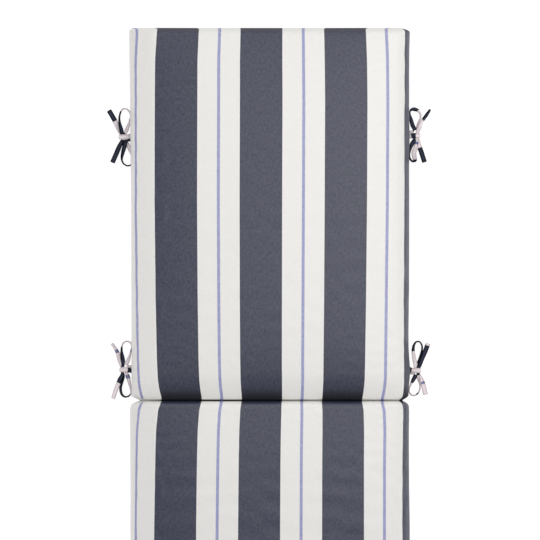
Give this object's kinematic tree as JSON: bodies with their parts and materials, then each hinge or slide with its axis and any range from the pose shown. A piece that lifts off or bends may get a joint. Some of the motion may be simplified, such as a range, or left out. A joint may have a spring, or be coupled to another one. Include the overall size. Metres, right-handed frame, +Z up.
{
  "type": "chaise lounge cushion",
  "caption": "Long boxed pad in awning stripe cloth with a sewn fold between back and seat and bows of flat tie tape along the back.",
  "frame": {"origin": "centre of the underside's rectangle, on the surface that the cushion lies on", "axes": "+Y along the cushion towards the head end, +Z up out of its face, +X to its right seen from above with the head end at the top"},
  "size_m": [0.6606, 1.928, 0.083],
  "materials": {
    "cover_fabric": "matte woven canvas, warm white with broad charcoal stripes and a thin pale blue stripe in each white one",
    "tie_fabric": "matte folded and stitched tape cut across the same striped canvas"
  },
  "bodies": {
    "root": {"cushion": "cover_fabric", "tie_left_head_wrap": "tie_fabric", "tie_left_head_core": "tie_fabric", "tie_right_head_wrap": "tie_fabric", "tie_right_head_core": "tie_fabric", "tie_left_foot_wrap": "tie_fabric", "tie_left_foot_core": "tie_fabric", "tie_right_foot_wrap": "tie_fabric", "tie_right_foot_core": "tie_fabric"}
  },
  "joints": []
}
